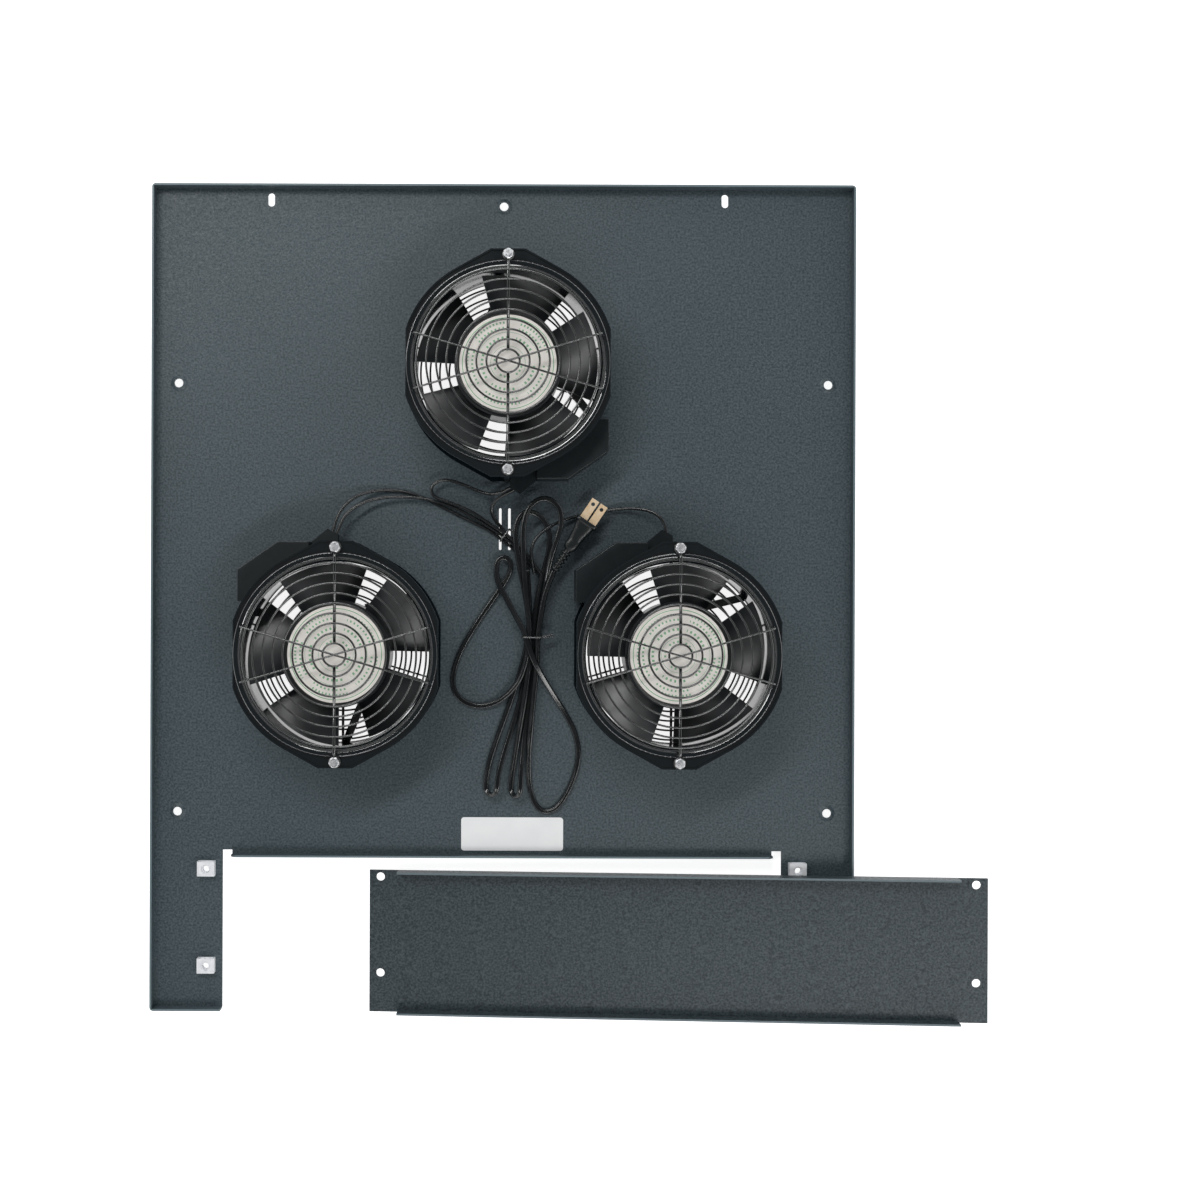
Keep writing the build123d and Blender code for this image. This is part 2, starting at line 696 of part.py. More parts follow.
# The folded part of the cord: one solid of the hank's outer shape
hank_outline = [(16.7, 25.3), (36.3, 25.3), (39.5, 10.4), (37.9, -9.3), (35.5, -30.5), (31.6, -50.1),
                (26.9, -72.1), (22.2, -91.8), (19.4, -119.3), (16.3, -146.8), (12.7, -156.2),
                (8.4, -156.2), (7.2, -142.9), (4.9, -131.1), (0.2, -128.7), (-3.0, -144.4),
                (-8.5, -152.3), (-13.6, -150.7), (-15.2, -141.3), (-8.5, -115.4), (0.2, -91.8),
                (8.8, -68.2), (13.5, -48.6), (15.5, -30.5), (12.7, -9.3), (12.0, 10.4)]
with BuildPart() as cord_hank:
    with BuildSketch(Plane.XY.offset(sheet_t + cord_gap)):
        with BuildLine():
            Polyline(*hank_outline, close=True)
        make_face()
    extrude(amount=hank_t)
    chamfer(cord_hank.faces().sort_by(Axis.Z)[-1].edges(), hank_edge)
save(cord_hank.part, "cord_hank")

# Wire tie around the leads, through the two slots of the panel
tie_half = tie_slot_pitch / 2 / math.cos(math.radians(tie_angle))
tie_x = tie_slot_x + tie_slot_pitch / 2
tie_plane = Plane(origin=(tie_x, tie_y, 0), x_dir=(math.cos(math.radians(tie_angle)),
                                                   math.sin(math.radians(tie_angle)), 0),
                  z_dir=(math.sin(math.radians(tie_angle)), -math.cos(math.radians(tie_angle)), 0))
with BuildPart() as cord_tie:
    with BuildSketch(tie_plane):
        with Locations((0, (tie_top - tie_t) / 2)):
            RectangleRounded(2 * tie_half + tie_t, tie_top + tie_t, 1.4)
            RectangleRounded(2 * tie_half - tie_t, tie_top - tie_t, 0.6, mode=Mode.SUBTRACT)
    extrude(amount=tie_w / 2, both=True)
save(cord_tie.part, "cord_tie")

# Twist tie around the hank
twist_in = (15.2, 35.8)
twist_z = (sheet_t + twist_t, sheet_t + cord_gap + hank_t + 0.1)
with BuildPart() as twist_tie:
    with BuildSketch(Plane(origin=(0, twist_y, 0), x_dir=(1, 0, 0), z_dir=(0, -1, 0))):
        with Locations(((twist_in[0] + twist_in[1]) / 2, (twist_z[0] + twist_z[1]) / 2)):
            Rectangle(twist_in[1] - twist_in[0] + 2 * twist_t, twist_z[1] - twist_z[0] + 2 * twist_t)
        with Locations(((twist_in[0] + twist_in[1]) / 2, (twist_z[0] + twist_z[1]) / 2)):
            Rectangle(twist_in[1] - twist_in[0], twist_z[1] - twist_z[0], mode=Mode.SUBTRACT)
        with Locations((twist_in[1] + twist_t / 2 + twist_tail / 2, twist_z[1] - 3)):
            Rectangle(twist_tail, twist_w / 2)
    extrude(amount=twist_w / 2, both=True)
save(twist_tie.part, "twist_tie")


# Plug

plug_angle = 56.0
plug_dir = (math.cos(math.radians(plug_angle)), math.sin(math.radians(plug_angle)))
plug_side = (-plug_dir[1], plug_dir[0], 0)
relief_l = 19.0
relief_r0 = 2.6
relief_r1 = 4.6
relief_ribs = 5
plug_l = 24.0
plug_w = 15.5
plug_t = 9.0
plug_face_l = 3.0
plug_face_w = 19.0
plug_face_t = 12.0
blade_l = 17.5
blade_w = 6.4
blade_thick = 1.5
blade_gap = 7.9
blade_hole_r = 1.5
plug_start = (40.3, 22.1, plug_z)


def along_plug(distance):
    return Plane(origin=(plug_start[0] + plug_dir[0] * distance, plug_start[1] + plug_dir[1] * distance,
                         plug_start[2]), x_dir=plug_side, z_dir=(plug_dir[0], plug_dir[1], 0))


with BuildPart() as plug_relief:
    with BuildSketch(along_plug(0)):
        Circle(relief_r0)
    with BuildSketch(along_plug(relief_l)):
        Circle(relief_r1)
    loft()
    for k in range(relief_ribs):
        with BuildSketch(along_plug(1.5 + k * 3.6)):
            Circle(relief_r0 + (relief_r1 - relief_r0) * (1.5 + k * 3.6) / relief_l + 1.0)
        extrude(amount=1.8)
save(plug_relief.part, "plug_strain_relief")

with BuildPart() as plug_body:
    with BuildSketch(along_plug(relief_l)):
        RectangleRounded(plug_w - 4, plug_t - 1, 3)
    with BuildSketch(along_plug(relief_l + plug_l)):
        RectangleRounded(plug_w, plug_t + 1, 3)
    loft()
    with BuildSketch(along_plug(relief_l + plug_l)):
        RectangleRounded(plug_face_w, plug_face_t, 3)
    extrude(amount=plug_face_l)
save(plug_body.part, "plug_body")

with BuildPart() as plug_blades:
    face = along_plug(relief_l + plug_l + plug_face_l)
    with BuildSketch(face):
        with Locations((-blade_gap / 2, 0), (blade_gap / 2, 0)):
            Rectangle(blade_w, blade_thick)
    extrude(amount=blade_l)
    across = Plane(origin=along_plug(relief_l + plug_l + plug_face_l + blade_l - 4).origin,
                   x_dir=plug_side, z_dir=(0, 0, 1))
    with BuildSketch(across):
        with Locations((-blade_gap / 2, 0), (blade_gap / 2, 0)):
            Circle(blade_hole_r)
    extrude(amount=blade_thick, both=True, mode=Mode.SUBTRACT)
save(plug_blades.part, "plug_blades")
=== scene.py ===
import math

import bpy
import numpy as np
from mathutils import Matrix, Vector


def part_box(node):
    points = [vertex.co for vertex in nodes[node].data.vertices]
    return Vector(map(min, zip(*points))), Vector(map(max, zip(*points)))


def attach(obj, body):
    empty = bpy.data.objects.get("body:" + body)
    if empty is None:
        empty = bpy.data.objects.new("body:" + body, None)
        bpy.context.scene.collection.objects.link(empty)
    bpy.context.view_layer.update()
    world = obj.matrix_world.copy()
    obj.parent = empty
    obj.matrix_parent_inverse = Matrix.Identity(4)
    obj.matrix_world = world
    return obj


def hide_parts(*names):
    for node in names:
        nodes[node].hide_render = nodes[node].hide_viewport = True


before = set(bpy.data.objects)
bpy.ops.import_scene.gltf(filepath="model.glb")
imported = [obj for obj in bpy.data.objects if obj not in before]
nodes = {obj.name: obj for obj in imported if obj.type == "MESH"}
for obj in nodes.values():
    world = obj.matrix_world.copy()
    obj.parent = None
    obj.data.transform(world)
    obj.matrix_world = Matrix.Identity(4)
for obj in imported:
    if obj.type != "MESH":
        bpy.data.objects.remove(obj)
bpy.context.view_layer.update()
mm = 0.001
print("stage: frame loaded")

# The camera looks straight down on the panel's inner side
shot = {
    "distance": 1.130,           # from the panel's inner face to the lens
    "innerFace": 0.0015,
    "pixel": 0.000789,           # metres on the inner face for each pixel of the photo
    "side": 1200,                # the photo's side in pixels
    "axisPixel": 505.0,          # pixel column that the lens looks through
    "axisPlace": (0.00174, -0.00142),
    "roll": 0.2,                 # degrees
}
camData = bpy.data.cameras.new("photoCamera")
camData.sensor_width = 36.0
camData.lens = camData.sensor_width * shot["distance"] / (shot["pixel"] * shot["side"])
camData.shift_x = (shot["side"] / 2 - shot["axisPixel"]) / shot["side"]
camData.clip_end = 20
camera = bpy.data.objects.new("photoCamera", camData)
camera.location = (*shot["axisPlace"], shot["innerFace"] + shot["distance"])
camera.rotation_euler = (0, 0, math.radians(shot["roll"]))
bpy.context.collection.objects.link(camera)
bpy.context.scene.camera = camera
bpy.context.scene.view_settings.view_transform = "Standard"

# Two soft lamps, beyond the top and the bottom edge of the panel and turned a little, in a room that is
# pale along the horizon and dark overhead
lamps = {
    "farStrip": {"place": (-0.50, 0.90, 1.38), "size": (1.5, 0.24), "watts": 12.5},
    "nearStrip": {"place": (0.46, -0.86, 1.30), "size": (1.5, 0.24), "watts": 8.5},
}
room = {"heights": (0.0, 0.07, 0.32, 0.75), "glow": (0.9, 1.75, 1.05, 0.06)}


def softBox(name, place, size, watts):
    # a rectangular lamp turned towards the origin
    data = bpy.data.lights.new(name, "AREA")
    data.shape = "RECTANGLE"
    data.size, data.size_y = size
    data.energy = watts
    lamp = bpy.data.objects.new(name, data)
    lamp.location = place
    flat = math.hypot(place[0], place[1])
    lamp.rotation_euler = (math.atan2(flat, place[2]), 0, math.atan2(place[0], -place[1]))
    bpy.context.collection.objects.link(lamp)


for lampName, lampFacts in lamps.items():
    softBox(lampName, **lampFacts)

world = bpy.data.worlds.new("paleRoom")
bpy.context.scene.world = world
world.use_nodes = True
roomWhere = world.node_tree.nodes.new("ShaderNodeTexCoord")
roomAxes = world.node_tree.nodes.new("ShaderNodeSeparateXYZ")
roomRamp = world.node_tree.nodes.new("ShaderNodeValToRGB")
while len(roomRamp.color_ramp.elements) < len(room["heights"]):
    roomRamp.color_ramp.elements.new(0.5)
for stop, height, glow in zip(roomRamp.color_ramp.elements, room["heights"], room["glow"]):
    stop.position = height
    stop.color = (glow, glow, glow, 1)
world.node_tree.links.new(roomWhere.outputs["Generated"], roomAxes.inputs["Vector"])
world.node_tree.links.new(roomAxes.outputs["Z"], roomRamp.inputs["Fac"])
world.node_tree.links.new(roomRamp.outputs["Color"], world.node_tree.nodes["Background"].inputs["Color"])


def newMaterial(name, color, roughness, metallic=0.0, **sockets):
    # one principled shader; a number that is the same all over sits on its socket
    mat = bpy.data.materials.new(name)
    mat.use_nodes = True
    shader = mat.node_tree.nodes["Principled BSDF"]
    shader.inputs["Base Color"].default_value = (*color, 1)
    shader.inputs["Roughness"].default_value = roughness
    shader.inputs["Metallic"].default_value = metallic
    for key, value in sockets.items():
        shader.inputs[key.replace("_", " ")].default_value = value
    return mat, shader


def addNode(mat, kind, **settings):
    node = mat.node_tree.nodes.new(kind)
    for key, value in settings.items():
        if key in node.inputs:
            node.inputs[key].default_value = value
        else:
            setattr(node, key, value)
    return node


def link(mat, source, target):
    mat.node_tree.links.new(source, target)


def noiseAt(mat, scale, detail=2.0):
    # soft noise on object coordinates, scale in cells per metre
    where = addNode(mat, "ShaderNodeTexCoord")
    noise = addNode(mat, "ShaderNodeTexNoise", Scale=scale, Detail=detail)
    link(mat, where.outputs["Object"], noise.inputs["Vector"])
    return noise.outputs["Fac"]


def rampOf(mat, value, stops):
    # value to colour through stops of (position, colour)
    ramp = addNode(mat, "ShaderNodeValToRGB")
    while len(ramp.color_ramp.elements) < len(stops):
        ramp.color_ramp.elements.new(0.5)
    for element, (position, color) in zip(ramp.color_ramp.elements, stops):
        element.position = position
        element.color = (*color, 1)
    link(mat, value, ramp.inputs["Fac"])
    return ramp.outputs["Color"]


def grain(mat, shader, scale, distance, strength=1.0, detail=2.0):
    # fine relief, distance in metres
    bump = addNode(mat, "ShaderNodeBump", Strength=strength, Distance=distance)
    link(mat, noiseAt(mat, scale, detail), bump.inputs["Height"])
    link(mat, bump.outputs["Normal"], shader.inputs["Normal"])


def drift(mat, shader, scale, dark, pale):
    # slow change of colour between two tones
    link(mat, rampOf(mat, noiseAt(mat, scale), [(0.3, dark), (0.7, pale)]), shader.inputs["Base Color"])


def sheenDrift(mat, shader, scale, low, high):
    # slow change of roughness
    gray = rampOf(mat, noiseAt(mat, scale), [(0.3, (low,) * 3), (0.7, (high,) * 3)])
    link(mat, gray, shader.inputs["Roughness"])


# White table under the part, which keeps the part's shadow
table = {"place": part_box("left_outer_guard")[0][2] - 0.2 * mm, "half": 3.0, "glow": 0.86}
tableMat, tableShader = newMaterial("tableWhite", (0.9, 0.9, 0.9), 0.7)
tableShader.inputs["Emission Color"].default_value = (1, 1, 1, 1)
ray = addNode(tableMat, "ShaderNodeLightPath")
eyeOrGloss = addNode(tableMat, "ShaderNodeMath", operation="MAXIMUM")
anySight = addNode(tableMat, "ShaderNodeMath", operation="MAXIMUM")
tableGlow = addNode(tableMat, "ShaderNodeMath", operation="MULTIPLY")
tableGlow.inputs[1].default_value = table["glow"]
link(tableMat, ray.outputs["Is Camera Ray"], eyeOrGloss.inputs[0])
link(tableMat, ray.outputs["Is Glossy Ray"], eyeOrGloss.inputs[1])
link(tableMat, eyeOrGloss.outputs["Value"], anySight.inputs[0])
link(tableMat, ray.outputs["Is Transmission Ray"], anySight.inputs[1])
link(tableMat, anySight.outputs["Value"], tableGlow.inputs[0])
link(tableMat, tableGlow.outputs["Value"], tableShader.inputs["Emission Strength"])
tableMesh = bpy.data.meshes.new("table")
tableMesh.from_pydata([(x * table["half"], y * table["half"], table["place"])
                       for x, y in ((-1, -1), (1, -1), (1, 1), (-1, 1))], [], [(0, 1, 2, 3)])
tableMesh.materials.append(tableMat)
tableTop = bpy.data.objects.new("table", tableMesh)
bpy.context.collection.objects.link(tableTop)
print("stage: camera, lamps and table")


def cordJacket(name, color, roughness):
    mat, shader = newMaterial(name, color, roughness, Specular_IOR_Level=0.8)
    grain(mat, shader, 1400.0, 0.02 * mm)
    sheenDrift(mat, shader, 60.0, roughness - 0.04, roughness + 0.06)
    return mat


def splineOf(name, route):
    # an open spline whose control points are the route's points, in mm
    curve = bpy.data.curves.new(name, "CURVE")
    curve.dimensions = "3D"
    curve.resolution_u = 8
    spline = curve.splines.new("NURBS")
    spline.points.add(len(route) - 1)
    spline.points.foreach_set("co", np.c_[np.array(route) * mm, np.ones(len(route))].ravel())
    spline.order_u = 3
    spline.use_endpoint_u = True
    return curve


def gridFaces(count, sides, closed=False):
    # four-sided faces between rings of points, ring after ring; closed joins the last ring to the first
    row, col = np.meshgrid(np.arange(count if closed else count - 1), np.arange(sides), indexing="ij")
    row, col = row.ravel(), col.ravel()
    onward, around = (row + 1) % count, (col + 1) % sides
    return np.c_[row * sides + col, row * sides + around, onward * sides + around, onward * sides + col]


def layCord(name, route, radius, jacket):
    # a round cord along the smooth line of the route
    curve = splineOf(name, route)
    curve.bevel_depth = radius * mm
    curve.bevel_resolution = 3
    curve.use_fill_caps = True
    curve.materials.append(jacket)
    piece = bpy.data.objects.new(name, curve)
    bpy.context.collection.objects.link(piece)
    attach(piece, "panel")
    return piece


def flatCord(name, p):
    # two cores side by side along the smooth line of the route: at the angle t the section stands
    # width * cos t across the line and height * sin t off it, and the height is times
    # crown - depth * exp(-(x / (share * width))^2), a groove over the middle
    holder = bpy.data.objects.new(name + "Line", splineOf(name + "Line", p["route"]))
    lineMesh = bpy.data.meshes.new_from_object(holder)
    path = np.empty(len(lineMesh.vertices) * 3)
    lineMesh.vertices.foreach_get("co", path)
    path = path.reshape(-1, 3)
    bpy.data.objects.remove(holder)
    bpy.data.meshes.remove(lineMesh)
    ahead = np.gradient(path, axis=0)
    ahead /= np.linalg.norm(ahead, axis=1, keepdims=True)
    across = np.cross(ahead, (0.0, 0.0, 1.0))
    across /= np.linalg.norm(across, axis=1, keepdims=True)
    off = np.cross(across, ahead)
    sides, (crown, depth, share) = p["sides"], p["groove"]
    turn = np.linspace(0, 2 * np.pi, sides, endpoint=False)
    wide = p["half"][0] * np.cos(turn)
    high = p["half"][1] * np.sin(turn) * (crown - depth * np.exp(-(wide / (share * p["half"][0])) ** 2))
    verts = path[:, None] + mm * (wide[None, :, None] * across[:, None]
                                  + high[None, :, None] * off[:, None])
    faces = np.roll(gridFaces(len(path), sides)[:, ::-1], 1, axis=1).tolist()
    faces += [list(range(sides)), list(range((len(path) - 1) * sides, len(path) * sides))[::-1]]
    mesh = bpy.data.meshes.new(name)
    mesh.from_pydata(verts.reshape(-1, 3).tolist(), [], faces)
    mesh.polygons.foreach_set("use_smooth", [True] * len(mesh.polygons))
    mesh.materials.append(p["jacket"])
    piece = bpy.data.objects.new(name, mesh)
    bpy.context.collection.objects.link(piece)
    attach(piece, "panel")
    return piece, path


# Leads from the fans' connectors into the joint at the top of the folded cord
leads = {
    "radius": 1.3,
    "jacket": cordJacket("leadJacket", (0.006, 0.008, 0.009), 0.26),
    "routes": {
        "left_lead_a": (0.194, [(-133.2, 49.0, 14), (-130.5, 61.8, 14), (-123.3, 73.6, 12.5),
                        (-110.4, 82.5, 8), (-90.4, 85.6, 4), (-70.0, 82.1, 3.1), (-49.5, 72.6, 3.1),
                        (-28.2, 61.6, 3.1), (-10.9, 53.7, 3.1), (-1.1, 46.1, 3.1), (12.8, 35.6, 3.6),
                        (21.4, 23.0, 5)]),
        "left_lead_b": (0.189, [(-130.6, 46.8, 14), (-126.2, 61.8, 14), (-116.2, 71.2, 13),
                        (-101.6, 77.7, 10), (-80.7, 79.8, 7), (-59.5, 77.9, 6.4), (-38.3, 71.6, 6.4),
                        (-19.5, 61.4, 6.4), (-7.7, 54.0, 6.2), (0.6, 48.4, 6.2), (15.1, 36.3, 6.5),
                        (24.5, 23.7, 6.5)]),
        "top_lead_a": (0.186, [(8.2, 88.0, 16), (-2.9, 80.8, 15), (-14.7, 81.5, 11.5), (-30.4, 88.7, 9),
                       (-42.2, 92.7, 8.5), (-51.4, 92.0, 8.8), (-57.0, 86.5, 9.4), (-55.0, 79.2, 9.6),
                       (-43.0, 75.2, 9.6), (-24.9, 68.3, 9.5), (-8.4, 56.6, 9.3), (2.3, 50.7, 9.2),
                       (15.1, 38.5, 9.3), (26.1, 25.3, 8), (31.0, 18.0, 7)]),
        "top_lead_b": (0.091, [(10.2, 85.6, 12), (0.2, 80.8, 11), (-6.3, 76.6, 8.5), (-9.7, 70.2, 5),
                       (-7.3, 62.4, 3.4), (-1.4, 56.1, 3.1), (2.2, 50.6, 3.1), (12.0, 41.9, 3.1),
                       (20.6, 30.1, 3.1), (27.7, 19.0, 3.8)]),
        "right_lead": (0.152, [(128.0, 48.6, 14), (126.6, 59.4, 14), (119.0, 67.4, 12), (104.5, 71.1, 8),
                       (85.9, 70.2, 4.5), (67.1, 66.7, 4), (50.6, 62.8, 6), (37.2, 56.9, 10),
                       (26.2, 48.4, 12.4), (21.6, 38.4, 12.6), (22.8, 27.6, 11), (24.6, 19.0, 9)]),
    },
}
for node, (leadLength, route) in leads["routes"].items():
    lead = layCord(node + "_wire", route, leads["radius"], leads["jacket"])
    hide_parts(node)

# The power cord: from the leads' joint through the hank's folds and loops to the plug
power = {
    "half": (2.15, 1.35),        # half width and half height of the two-core cord
    "groove": (1.12, 0.45, 0.28),    # crown, depth and share of the half width
    "sides": 20,
    "length": 1.67,
    "jacket": cordJacket("powerJacket", (0.006, 0.008, 0.009), 0.2),
    "route": [
        (19, 23, 5.2), (20, 10, 4.6), (21, -10, 3.4), (20.5, -30.5, 3.4), (15.6, -52, 3.4),
        (8.5, -76, 3.4), (-0.8, -101, 3.4), (-8.8, -124, 3.4), (-11.8, -137, 3.4), (-12.9, -146, 3.4),
        (-12.9, -151, 3.5), (-10.4, -154.3, 5.7), (-6.8, -154.3, 8.7), (-4.3, -151, 10.9),
        (-3.9, -145.6, 11.2), (-2.2, -134, 9.4), (3.6, -114, 5.8), (10.5, -93, 3.4), (17, -68, 3.4),
        (22.1, -47, 3.4), (23.7, -30.5, 3.4), (26, -8, 3.4), (29.5, 13, 5.5), (35, 31, 7.5),
        (37.2, 46, 8.5), (34.5, 58, 9.5), (27, 66.5, 10.5), (16.5, 68, 12.5), (10.6, 60, 13),
        (9.6, 46, 13.4), (12, 30, 13.4), (15.8, 12, 11.2), (19.6, -8, 9.4), (21.8, -30.5, 8),
        (20.5, -55, 8), (17, -82, 7.4), (12.5, -108, 5.4), (9.4, -129, 4.2), (7.4, -140, 3.4),
        (6.8, -147, 3.3), (6.8, -151.9, 3.4), (8.9, -155.2, 5.9), (11.9, -155.2, 9.5), (14, -151.9, 12),
        (14.3, -146.4, 12), (14.9, -134, 10), (16.4, -118, 6.4), (18.5, -98, 3.4), (22.5, -70, 3.4),
        (26.9, -49, 3.4), (27.1, -30.5, 3.4), (31.4, -8, 5), (33.5, 10, 8), (36.5, 29, 13.2),
        (41.1, 43, 15), (45.6, 57, 15), (45, 68.7, 15), (39.2, 76.1, 15), (31, 78.5, 15),
        (22.8, 74.2, 15.5), (17.3, 64.8, 16), (15.4, 51.5, 16.6), (16, 36, 17.2), (16.6, 19.7, 15.9),
        (18.6, -2, 14.2), (20.9, -20, 12.4), (20.2, -38, 11.6), (17.7, -52, 10.4), (12, -67.5, 8.8),
        (-1.8, -81.3, 5), (-16.4, -86.1, 3), (-29.8, -82.9, 3), (-38.6, -73.9, 3), (-39.6, -60.5, 3),
        (-33.7, -42.4, 3), (-24.2, -25.8, 3), (-14, -10.1, 3), (-4.6, 3.5, 3.4), (3, 14.5, 4.4),
        (6.2, 22.6, 5.4), (6, 28.6, 6), (2.9, 31.8, 6.6), (-1.4, 31.8, 7.1), (-4.5, 28.6, 7.5),
        (-5.4, 21.6, 7.8), (-3.8, 11.5, 8.2), (3.4, -1, 9.6), (10, -14, 11.6), (17, -26, 13.6),
        (19.6, -36, 15), (23.6, -47, 14.6), (30.4, -60, 11.6), (39.8, -75.5, 6.6), (49, -89.6, 3.4),
        (57.6, -105.4, 3), (60.8, -122.7, 3), (57.3, -140, 3), (49.8, -156.5, 3), (41.5, -167, 3),
        (32, -168.6, 3), (25, -161.3, 3), (21.4, -147.9, 3), (20.6, -133.6, 4.5), (21, -119.4, 5.5),
        (22.2, -105.1, 7), (24, -82, 8.2), (27, -56, 9.6), (27.1, -34, 12), (29.6, -14, 12.4),
        (31.5, -3, 12.2), (33.9, 5.6, 12), (36.9, 14.2, 12), (40.3, 22.1, 12)],
}
powerCord, powerPath = flatCord("powerCord", power)
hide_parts("cord_hank", "left_loop", "right_loop", "top_loop", "plug_cord")
print("stage: cords")


def tube(path, across, section, sides, closed=False):
    # a tube along a flat path: at the angle t its wall stands section[0] * cos t in the path's plane and
    # section[1] * sin t across it
    path = np.array(path, float)
    if closed:
        tangent = np.roll(path, -1, 0) - np.roll(path, 1, 0)
    else:
        tangent = np.gradient(path, axis=0)
    tangent /= np.linalg.norm(tangent, axis=1, keepdims=True)
    inside = np.cross(across, tangent)
    turn = np.linspace(0, 2 * np.pi, sides, endpoint=False)[None, :, None]
    verts = (path[:, None] + section[0] * np.cos(turn) * inside[:, None]
             + section[1] * np.sin(turn) * np.array(across))
    count = len(path)
    faces = gridFaces(count, sides, closed).tolist()
    if not closed:
        faces += [list(range(sides))[::-1], list(range((count - 1) * sides, count * sides))]
    return verts.reshape(-1, 3), faces


def joinForms(forms):
    # several (points, faces) into one
    points, faces, start = [], [], 0
    for formPoints, formFaces in forms:
        points.append(formPoints)
        faces += [[start + v for v in face] for face in formFaces]
        start += len(formPoints)
    return np.concatenate(points), faces


def newPiece(name, points, faces, mat, body="panel", flip=False, smooth=True):
    # points in mm in the frame
    mesh = bpy.data.meshes.new(name)
    mesh.from_pydata((points * mm).tolist(), [], [face[::-1] for face in faces] if flip else faces)
    mesh.polygons.foreach_set("use_smooth", [smooth] * len(mesh.polygons))
    mesh.materials.append(mat)
    piece = bpy.data.objects.new(name, mesh)
    bpy.context.collection.objects.link(piece)
    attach(piece, body)
    return piece


def bend(centre, radius, start, stop, steps=6):
    # points of an arc in a side view, angles in degrees
    turn = np.radians(np.linspace(start, stop, steps))
    return np.c_[centre[0] + radius * np.cos(turn), centre[1] + radius * np.sin(turn)]


# Wire guards: rings on two half spokes that end in eyelets, and a wire cross with feet
guard = {
    "wire": 0.78, "spokeWire": 1.15,
    "ringFirst": 8.7, "ringPitch": 7.55, "ringCount": 9, "ringHeight": 5.25,
    "spokeHeight": 4.05, "spokeBend": 2.0, "footBend": 1.3,
    "bolt": 81.0, "eyelet": 3.45, "eyeletHalf": (1.15, 0.75),
    "crossAngle": 16.5, "crossHeight": 6.45, "crossReach": 73.85, "crossBend": 2.4,
    "legGap": 0.4, "spokeOverlap": 0.5, "crossFoot": -0.3,
    "ringSteps": 96, "eyeletStride": 3, "sides": 10,
}
guardMat, guardShader = newMaterial("guardPaint", (0.005, 0.007, 0.008), 0.16,
                                    Specular_IOR_Level=0.85, IOR=1.75)
grain(guardMat, guardShader, 900.0, 0.004 * mm)
sheenDrift(guardMat, guardShader, 120.0, 0.14, 0.26)


def guardForm(g):
    # local to the fan: its seat at height 0, wires rising from it
    turn = np.linspace(0, 2 * np.pi, g["ringSteps"], endpoint=False)
    circle = np.c_[np.cos(turn), np.sin(turn), np.zeros_like(turn)]
    up = (0.0, 0.0, 1.0)
    forms = []
    for n in range(g["ringCount"]):
        ring = circle * (g["ringFirst"] + n * g["ringPitch"]) + (0, 0, g["ringHeight"])
        forms.append(tube(ring, up, (g["wire"],) * 2, g["sides"], closed=True))
    legFoot = g["bolt"] - g["eyelet"] - g["footBend"] - g["legGap"]
    spoke = np.concatenate([
        [(g["ringFirst"] - g["spokeOverlap"], g["spokeHeight"])],
        bend((legFoot - g["spokeBend"], g["spokeHeight"] - g["spokeBend"]), g["spokeBend"], 90, 0),
        bend((legFoot + g["footBend"], g["eyeletHalf"][1] + g["footBend"]), g["footBend"], 180, 270),
        [(g["bolt"] - g["eyelet"], g["eyeletHalf"][1])]])
    for end in (-1, 1):
        path = np.c_[np.zeros(len(spoke)), end * spoke[:, 0], spoke[:, 1]]
        forms.append(tube(path, (-end, 0.0, 0.0), (g["wire"], g["spokeWire"]), g["sides"]))
        eyelet = circle[::g["eyeletStride"]] * g["eyelet"] + (0, end * g["bolt"], g["eyeletHalf"][1])
        forms.append(tube(eyelet, up, g["eyeletHalf"], g["sides"], closed=True))
    corner = bend((g["crossReach"] - g["crossBend"], g["crossHeight"] - g["crossBend"]),
                  g["crossBend"], 90, 0)
    half = np.concatenate([corner, [(g["crossReach"], g["crossFoot"])]])
    side = np.concatenate([half[::-1] * (-1, 1), half])
    for angle in np.radians((g["crossAngle"], -g["crossAngle"])):
        path = np.c_[side[:, 0] * np.cos(angle), side[:, 0] * np.sin(angle), side[:, 1]]
        forms.append(tube(path, (np.sin(angle), -np.cos(angle), 0.0), (g["wire"],) * 2, g["sides"]))
    return joinForms(forms)


fans = {"top": {"axis": (3.4, 178.0), "turn": 180.0}, "left": {"axis": (-126.3, -43.0), "turn": 0.0},
        "right": {"axis": (133.7, -43.0), "turn": 0.0}}
guardSeats = {"inner": (52.5, 1), "outer": (0.0, -1)}


def onFan(facts, points):
    # x cos(turn) - y sin(turn) and x sin(turn) + y cos(turn), moved to the fan's axis
    turned = math.radians(facts["turn"])
    x, y = points[:, 0], points[:, 1]
    return np.c_[facts["axis"][0] + math.cos(turned) * x - math.sin(turned) * y,
                 facts["axis"][1] + math.sin(turned) * x + math.cos(turned) * y]


guardPoints, guardFaces = guardForm(guard)
for fan, facts in fans.items():
    for face, (seat, way) in guardSeats.items():
        placed = np.c_[onFan(facts, guardPoints), seat + way * guardPoints[:, 2]]
        piece = newPiece(f"{fan}_{face}_wires", placed, guardFaces, guardMat, flip=way < 0)
        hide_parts(f"{fan}_{face}_guard")
print("stage: guards")


# The two folded sheets: tilt in degrees about Y, the point (x, z) it turns on, and the flanges' height, in mm
sheets = {
    "top_panel": {"tilt": 0.0, "foot": (0.0, 0.0), "flange": 11.0},
    "cover_panel": {"tilt": 3.205, "foot": (-104.8, -7.23), "flange": 12.0},
}
edgeHighlightBand = (0.45, 0.1)           # mm below the flanges' edge where the painted highlight starts and where it is full
